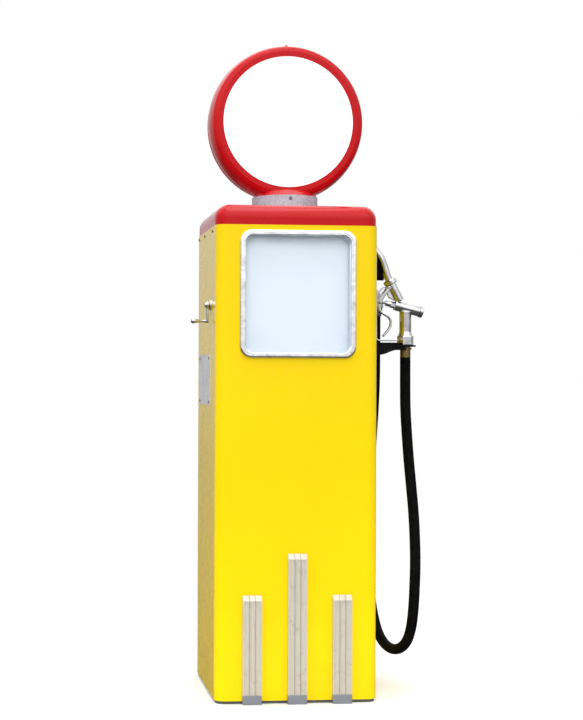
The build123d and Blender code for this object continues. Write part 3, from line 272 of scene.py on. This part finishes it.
def trim_aluminium():
    """Old bright aluminium: brushed lengthways, stained, with painted shade along its ridges and a painted
    blue-grey reflection of the ground along its lowest 24 mm.
    """
    finish = Finish("trim_aluminium", (1, 1, 0.04))
    brushed = finish.ramp(finish.noise(0.0009, 3, 0.7),
                          (0.25, (0.58, 0.545, 0.465)), (0.75, (0.70, 0.66, 0.57)))
    blotches = finish.plain_noise(0.012, 5, 0.65)
    stained = finish.mix(finish.span(blotches, 0.56, 0.72, 0, 0.55), brushed, (0.42, 0.375, 0.28))
    flecks = finish.span(finish.plain_noise(0.0016, 3, 0.8), 0.70, 0.75)
    marked = finish.mix(finish.times(flecks, 0.6), stained, (0.22, 0.17, 0.10))
    # Painted shade: thin dark brown lines along the flute ridges stand in for the shade on one side of each
    # ridge.
    aside = finish.times(finish.axis("X"), TRIM_PITCH / 2, "PINGPONG")
    inner, outer = GROOVE_OUT - GROOVE_EDGE, GROOVE_OUT + GROOVE_EDGE
    groove_shade_mask = finish.times(finish.span(aside, inner - GROOVE_BLUR, inner),
                          finish.span(aside, outer + GROOVE_BLUR, outer))
    groove_shaded = finish.mix(finish.times(groove_shade_mask, 0.75), marked, (0.24, 0.20, 0.13))
    # Painted reflection: the blue-grey band along the lowest 24 mm stands in for the darker ground reflected
    # in the trim.
    foot_reflection = finish.span(finish.axis("Z"), TRIM_FOOT_HIGH, TRIM_FOOT_LOW)
    finish.colour(finish.mix(foot_reflection, groove_shaded, (0.26, 0.275, 0.31)))
    finish.roughness(blotches, 0.34, 0.5)
    finish.set(metallic=0.25)
    finish.bump(finish.noise(0.0009, 3, 0.7), 0.00008, 0.6)
    return finish.material


def rubber(name, dark, light, rib=None):
    """Black rubber with a bloom of dust and, on a hose, the fine print of the cloth it was cured in."""
    finish = Finish(name)
    finish.colour(finish.ramp(finish.noise(0.012, 5, 0.6), (0.35, dark), (0.8, light)))
    finish.roughness(finish.noise(0.008, 4), 0.42, 0.6)
    finish.set(specular_ior_level=0.03)
    if rib:
        finish.bump(finish.waves(rib, 0.4), 0.00025, 0.6)
    finish.bump(finish.noise(0.0012, 3, 0.7), 0.00012, 0.6)
    return finish.material


def satin_black(name, grain):
    """Brushed-on black over iron: lap marks, sand grain beneath and grey rubbed edges."""
    finish = Finish(name)
    base = finish.ramp(finish.noise(0.02, 5, 0.6),
                       (0.35, (0.003, 0.003, 0.0035)), (0.75, (0.010, 0.010, 0.011)))
    pointed = finish.nodes.new("ShaderNodeNewGeometry").outputs["Pointiness"]
    rubbed = finish.times(finish.span(pointed, 0.53, 0.60), finish.span(finish.noise(0.004, 4), 0.4, 0.7))
    finish.colour(finish.mix(rubbed, base, (0.30, 0.29, 0.27)))
    finish.roughness(finish.noise(0.01, 4), 0.28, 0.45)
    finish.set(specular_ior_level=0.05)
    finish.bump(finish.noise(grain, 4, 0.65), 0.0003, 0.6)
    return finish.material


def panel_white():
    """The blank dial panel: cool white stove enamel, a little clouded."""
    finish = Finish("dial_white")
    clouds = finish.ramp(finish.noise(0.08, 5, 0.55), (0.3, (0.47, 0.525, 0.59)), (0.7, (0.50, 0.555, 0.615)))
    finish.colour(clouds)
    finish.roughness(finish.noise(0.02, 4), 0.3, 0.45)
    finish.set(coat_weight=0.3, coat_roughness=0.1)
    finish.bump(finish.noise(0.05, 2), 0.0004, 0.3)
    return finish.material


def milk_glass():
    """Opal glass with a painted glow, an emission that stands in for light from within, and slow waves from
    its pressing.
    """
    finish = Finish("milk_glass")
    finish.colour(finish.ramp(finish.noise(0.12, 3), (0.3, (0.90, 0.91, 0.92)), (0.7, (0.95, 0.955, 0.96))))
    finish.roughness(finish.noise(0.05, 3), 0.12, 0.2)
    # Painted glow: the emission makes the lens shine white, though nothing inside it gives light.
    finish.set(coat_weight=0.6, coat_roughness=0.05, emission_color=(1, 1, 1, 1), emission_strength=0.55)
    finish.bump(finish.noise(0.07, 2), 0.0008, 0.3)
    return finish.material


def clear_glass(name, roughness_low, roughness_high):
    """Drawn sheet glass, faintly green, with slow waves."""
    finish = Finish(name)
    finish.colour(finish.ramp(finish.noise(0.05, 3), (0.3, (0.97, 0.985, 0.99)), (0.7, (0.99, 0.995, 1.0))))
    finish.roughness(finish.noise(0.02, 4), roughness_low, roughness_high)
    finish.set(transmission_weight=1.0, ior=1.45)
    finish.bump(finish.noise(0.12, 2), 0.0004, 0.15)
    return finish.material


def nameplate_metal():
    """Satin aluminium plate, crossways brushed, with tarnish gathered at random."""
    finish = Finish("plate_aluminium", (1, 0.05, 1))
    tarnish = finish.span(finish.plain_noise(0.02, 5, 0.6), 0.45, 0.7, 0, 0.6)
    brushed = finish.ramp(finish.noise(0.0008, 3, 0.7), (0.3, (0.60, 0.61, 0.64)), (0.7, (0.78, 0.79, 0.82)))
    finish.colour(finish.mix(tarnish, brushed, (0.42, 0.43, 0.45)))
    finish.roughness(finish.noise(0.002, 4), 0.32, 0.5)
    finish.set(metallic=0.3)
    finish.bump(finish.noise(0.0008, 3), 0.00006, 0.6)
    return finish.material


finishes = {
    "frame_steel": flecked_metal("frame_steel", (0.09, 0.095, 0.10), (0.16, 0.165, 0.17), 0.4, 0.6,
                                 0.002, 0.0002, metallic=0.2),
    "cabinet_paint": enamel("cabinet_paint", (0.93, 0.655, 0.0), (0.96, 0.69, 0.0), (0.62, 0.42, 0.02)),
    "trim_paint": enamel("trim_paint", (0.50, 0.002, 0.005), (0.56, 0.004, 0.008), (0.35, 0.02, 0.02)),
    "galvanised": galvanised(),
    "screw_steel": flecked_metal("screw_steel", (0.14, 0.13, 0.12), (0.36, 0.35, 0.34), 0.35, 0.6,
                                 0.0012, 0.0001),
    "brass_screw": flecked_metal("brass_screw", (0.24, 0.17, 0.06), (0.5, 0.37, 0.15), 0.3, 0.5,
                                 0.0012, 0.0001),
    "milk_glass": milk_glass(),
    "socket_black": rubber("socket_black", (0.012, 0.012, 0.012), (0.03, 0.03, 0.03)),
    "lamp_glass": clear_glass("lamp_glass", 0.3, 0.5),
    "bezel_chrome": chrome("bezel_chrome", (0.90, 0.91, 0.93), (0.66, 0.66, 0.68), 0.05, 0.16, 0.0022),
    "window_glass": clear_glass("window_glass", 0.0, 0.02),
    "dial_white": panel_white(),
    "plate_aluminium": nameplate_metal(),
    "crank_chrome": chrome("crank_chrome", (0.60, 0.60, 0.62), (0.34, 0.33, 0.33), 0.16, 0.34, 0.0008),
    "machine_steel": flecked_metal("machine_steel", (0.34, 0.34, 0.35), (0.56, 0.56, 0.58), 0.25, 0.45,
                                   0.0012, 0.0001),
    "wheel_black": rubber("wheel_black", (0.02, 0.02, 0.022), (0.045, 0.045, 0.05)),
    "bracket_black": satin_black("bracket_black", 0.0016),
    "coupling_steel": flecked_metal("coupling_steel", (0.08, 0.08, 0.085), (0.24, 0.24, 0.25), 0.3, 0.5,
                                    0.0015, 0.0001),
    "hose_rubber": rubber("hose_rubber", (0.002, 0.002, 0.0022), (0.007, 0.007, 0.0075), rib=0.004),
    "nozzle_chrome": chrome("nozzle_chrome", (0.66, 0.665, 0.69), (0.36, 0.36, 0.38), 0.10, 0.26, 0.0012),
    "swivel_brass": flecked_metal("swivel_brass", (0.16, 0.12, 0.05), (0.42, 0.33, 0.15), 0.3, 0.5,
                                  0.002, 0.0001),
    "motor_grey": flecked_metal("motor_grey", (0.14, 0.16, 0.17), (0.28, 0.31, 0.33), 0.35, 0.5,
                                0.006, 0.0004, metallic=0.1),
    "machine_iron": flecked_metal("machine_iron", (0.06, 0.062, 0.06), (0.15, 0.155, 0.15), 0.45, 0.65,
                                  0.002, 0.0003, metallic=0.2),
    "belt_rubber": rubber("belt_rubber", (0.01, 0.01, 0.01), (0.04, 0.038, 0.035)),
    "meter_brass": flecked_metal("meter_brass", (0.28, 0.2, 0.08), (0.52, 0.4, 0.18), 0.35, 0.55,
                                 0.002, 0.0002),
    "trim_aluminium": trim_aluminium(),
}

slot_of = {row["node"]: row["material_slot"] for row in frame["record"]["subparts"]}
body_of = {node: body for body, nodes in frame["record"]["behaviour"]["bodies"].items() for node in nodes}
for node_name, node in frame["nodes"].items():
    node.data.materials.clear()
    node.data.materials.append(finishes[slot_of[node_name]])
    node.visible_shadow = slot_of[node_name] not in ("window_glass", "lamp_glass")

# ---- Mesh helpers ----


def new_piece(name, mesh, slot):
    """Make a piece from a mesh and give it its finish."""
    piece = bpy.data.objects.new(name, mesh)
    scene.collection.objects.link(piece)
    mesh.materials.clear()
    mesh.materials.append(finishes[slot])
    return piece


def settle(piece):
    """Fix the result of a piece's modifiers in its mesh."""
    graph = bpy.context.evaluated_depsgraph_get()
    settled = bpy.data.meshes.new_from_object(piece.evaluated_get(graph))
    piece.modifiers.clear()
    piece.data = settled


def smooth(piece):
    for polygon in piece.data.polygons:
        polygon.use_smooth = True


def casting(node_name, grain, softening):
    """Stand a cast piece in for a CAD node: the same shape with every edge and inner corner run smooth."""
    copy = frame["nodes"][node_name].data.copy()
    piece = new_piece(f"{node_name}_cast", copy, slot_of[node_name])
    remesh = piece.modifiers.new("remesh", "REMESH")
    remesh.mode = "VOXEL"
    remesh.voxel_size = grain
    soften = piece.modifiers.new("soften", "SMOOTH")
    soften.factor = 0.5
    soften.iterations = softening
    settle(piece)
    smooth(piece)
    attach(piece, body_of[node_name])
    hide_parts(node_name)


# ---- Hose: one smooth line from the coupling on the cabinet to the swivel under the nozzle ----

HOSE_ROUTE = [
    (0.289, 0.090, 1.070), (0.289, 0.090, 0.975), (0.289, 0.092, 0.880), (0.2875, 0.103, 0.785),
    (0.2845, 0.1175, 0.690), (0.282, 0.131, 0.595), (0.2805, 0.142, 0.505), (0.281, 0.149, 0.415),
    (0.2835, 0.1495, 0.330), (0.287, 0.141, 0.245), (0.294, 0.118, 0.174), (0.303, 0.093, 0.128),
    (0.317, 0.050, 0.101), (0.334, 0.000, 0.101), (0.349, -0.044, 0.128), (0.357, -0.069, 0.174),
    (0.361, -0.079, 0.238), (0.3635, -0.080, 0.300), (0.3665, -0.076, 0.362), (0.367, -0.068, 0.430),
    (0.366, -0.058, 0.500), (0.362, -0.047, 0.574), (0.357, -0.037, 0.648), (0.3535, -0.0285, 0.722),
    (0.350, -0.0225, 0.800), (0.350, -0.020, 0.880), (0.350, -0.020, 0.948),
]
HOSE_RADIUS, HOSE_LENGTH = 0.015, 1.943
HOSE_SIDES = 40


def read_line(points):
    """Places along the smooth line that a route's control points give."""
    curve = bpy.data.curves.new("route", "CURVE")
    curve.dimensions = "3D"
    curve.resolution_u = 12
    spline = curve.splines.new("NURBS")
    spline.points.add(len(points) - 1)
    for point, place in zip(spline.points, points):
        point.co = (*place, 1)
    spline.order_u = 3
    spline.use_endpoint_u = True
    line = bpy.data.objects.new("route", curve)
    scene.collection.objects.link(line)
    bpy.context.view_layer.update()
    mesh = bpy.data.meshes.new_from_object(line.evaluated_get(bpy.context.evaluated_depsgraph_get()))
    places = [vertex.co.copy() for vertex in mesh.vertices]
    bpy.data.objects.remove(line)
    return places


def tube_mesh(name, places, radius, sides):
    """A closed round tube along places."""
    mesh = bmesh.new()
    across, rings = None, []
    for index, place in enumerate(places):
        ahead = places[min(index + 1, len(places) - 1)] - places[max(index - 1, 0)]
        ahead.normalize()
        across = (across - ahead * across.dot(ahead) if across else ahead.orthogonal()).normalized()
        aside = ahead.cross(across)
        turns = [2 * pi * n / sides for n in range(sides)]
        rings.append([mesh.verts.new(place + radius * (cos(turn) * across + sin(turn) * aside))
                      for turn in turns])
    for first, second in zip(rings, rings[1:]):
        for n in range(sides):
            face = mesh.faces.new((first[n], first[(n + 1) % sides], second[(n + 1) % sides], second[n]))
            face.smooth = True
    mesh.faces.new(reversed(rings[0]))
    mesh.faces.new(rings[-1])
    bmesh.ops.recalc_face_normals(mesh, faces=mesh.faces)
    made = bpy.data.meshes.new(name)
    mesh.to_mesh(made)
    mesh.free()
    return made


def make_hose():
    places = read_line(HOSE_ROUTE)
    tube = tube_mesh("fuel_hose", places, HOSE_RADIUS, HOSE_SIDES)
    hose = new_piece("fuel_hose", tube, "hose_rubber")
    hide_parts("hose")
    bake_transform(hose)


make_hose()

# ---- Cast pieces ----

CASTINGS = {
    "nozzle_body": (0.0009, 6), "trigger_lever": (0.0008, 4), "lever_guard": (0.0008, 4),
    "nozzle_boot": (0.0010, 4), "nozzle_shelf": (0.0010, 3), "reset_crank": (0.0005, 4),
}
for node_name, (grain, softening) in CASTINGS.items():
    casting(node_name, grain, softening)

# ---- Studio: a pale floor that fades out, a sky bright overhead, and three soft lights ----

FLOOR_CLEAR, FLOOR_FADED, FLOOR_SIZE = 0.9, 2.4, 3.0


def make_floor():
    mesh = bmesh.new()
    bmesh.ops.create_circle(mesh, cap_ends=True, segments=96, radius=FLOOR_SIZE)
    made = bpy.data.meshes.new("floor")
    mesh.to_mesh(made)
    mesh.free()
    floor = bpy.data.objects.new("floor", made)
    scene.collection.objects.link(floor)
    floor.location.z = -0.0005
    finish = Finish("floor")
    finish.colour(finish.ramp(finish.noise(0.3, 4), (0.3, (0.93, 0.93, 0.93)), (0.7, (0.96, 0.96, 0.96))))
    finish.set(roughness=0.9)
    gradient = finish.nodes.new("ShaderNodeTexGradient")
    gradient.gradient_type = "SPHERICAL"
    finish.mapping.inputs["Scale"].default_value = (1 / FLOOR_SIZE,) * 3
    finish.links.new(finish.place, gradient.inputs["Vector"])
    solid = finish.span(gradient.outputs["Fac"], 1 - FLOOR_FADED / FLOOR_SIZE, 1 - FLOOR_CLEAR / FLOOR_SIZE)
    finish.links.new(solid, finish.shader.inputs["Alpha"])
    made.materials.append(finish.material)
    floor.visible_glossy = False


def make_world():
    """White to the eye. As light, bright overhead and dim below; in mirrors, bright in front as well."""
    world = bpy.data.worlds.new("studio")
    scene.world = world
    world.use_nodes = True
    nodes, links = world.node_tree.nodes, world.node_tree.links
    place = nodes.new("ShaderNodeTexCoord")
    split = nodes.new("ShaderNodeSeparateXYZ")
    links.new(place.outputs["Generated"], split.inputs["Vector"])

    def graded(axis, stops):
        height = nodes.new("ShaderNodeMapRange")
        height.inputs["From Min"].default_value = -1
        ramp = nodes.new("ShaderNodeValToRGB")
        elements = ramp.color_ramp.elements
        for index, (position, level) in enumerate(stops):
            element = elements[index] if index < 2 else elements.new(position)
            element.position = position
            element.color = (level, level, level, 1)
        links.new(split.outputs[axis], height.inputs["Value"])
        links.new(height.outputs["Result"], ramp.inputs["Fac"])
        return ramp.outputs["Color"]

    sky = graded("Z", ((0.0, 0.10), (0.375, 0.04), (0.40, 0.14), (0.474, 0.27),
                       (0.50, 0.40), (0.59, 0.60), (0.72, 1.05), (1.0, 1.8)))
    lit = graded("Y", ((0.0, 0.72), (0.35, 0.70), (0.60, 1.0), (1.0, 1.05)))
    mirrored = graded("Y", ((0.0, 2.3), (0.15, 2.0), (0.38, 0.75), (0.60, 1.0), (1.0, 1.05)))
    seen = nodes.new("ShaderNodeLightPath")
    depth, product = nodes.new("ShaderNodeMix"), nodes.new("ShaderNodeMix")
    depth.data_type = product.data_type = "RGBA"
    product.blend_type = "MULTIPLY"
    product.inputs["Factor"].default_value = 1
    links.new(seen.outputs["Is Glossy Ray"], depth.inputs["Factor"])
    links.new(lit, depth.inputs[6])
    links.new(mirrored, depth.inputs[7])
    links.new(sky, product.inputs[6])
    links.new(depth.outputs[2], product.inputs[7])
    plain = nodes.new("ShaderNodeBackground")
    plain.inputs["Color"].default_value = (1, 1, 1, 1)
    shaded = nodes["Background"]
    both = nodes.new("ShaderNodeMixShader")
    links.new(product.outputs[2], shaded.inputs["Color"])
    links.new(seen.outputs["Is Camera Ray"], both.inputs["Fac"])
    links.new(shaded.outputs["Background"], both.inputs[1])
    links.new(plain.outputs["Background"], both.inputs[2])
    links.new(both.outputs["Shader"], nodes["World Output"].inputs["Surface"])


def make_light(name, place, aim, size, power, mirrored):
    data = bpy.data.lights.new(name, "AREA")
    data.size = size
    data.energy = power
    light = bpy.data.objects.new(name, data)
    scene.collection.objects.link(light)
    light.location = place
    light.rotation_euler = (Vector(aim) - Vector(place)).to_track_quat("-Z", "Y").to_euler()
    light.visible_glossy = mirrored


make_floor()
make_world()
make_light("key", (-0.6, -4.6, 2.6), (0, 0, 0.8), 2.4, 100, False)
make_light("side", (-4.0, -0.8, 2.4), (0, 0, 0.9), 2.0, 25, False)
make_light("overhead", (-0.2, -0.7, 4.4), (0, 0, 1.2), 2.0, 40, True)
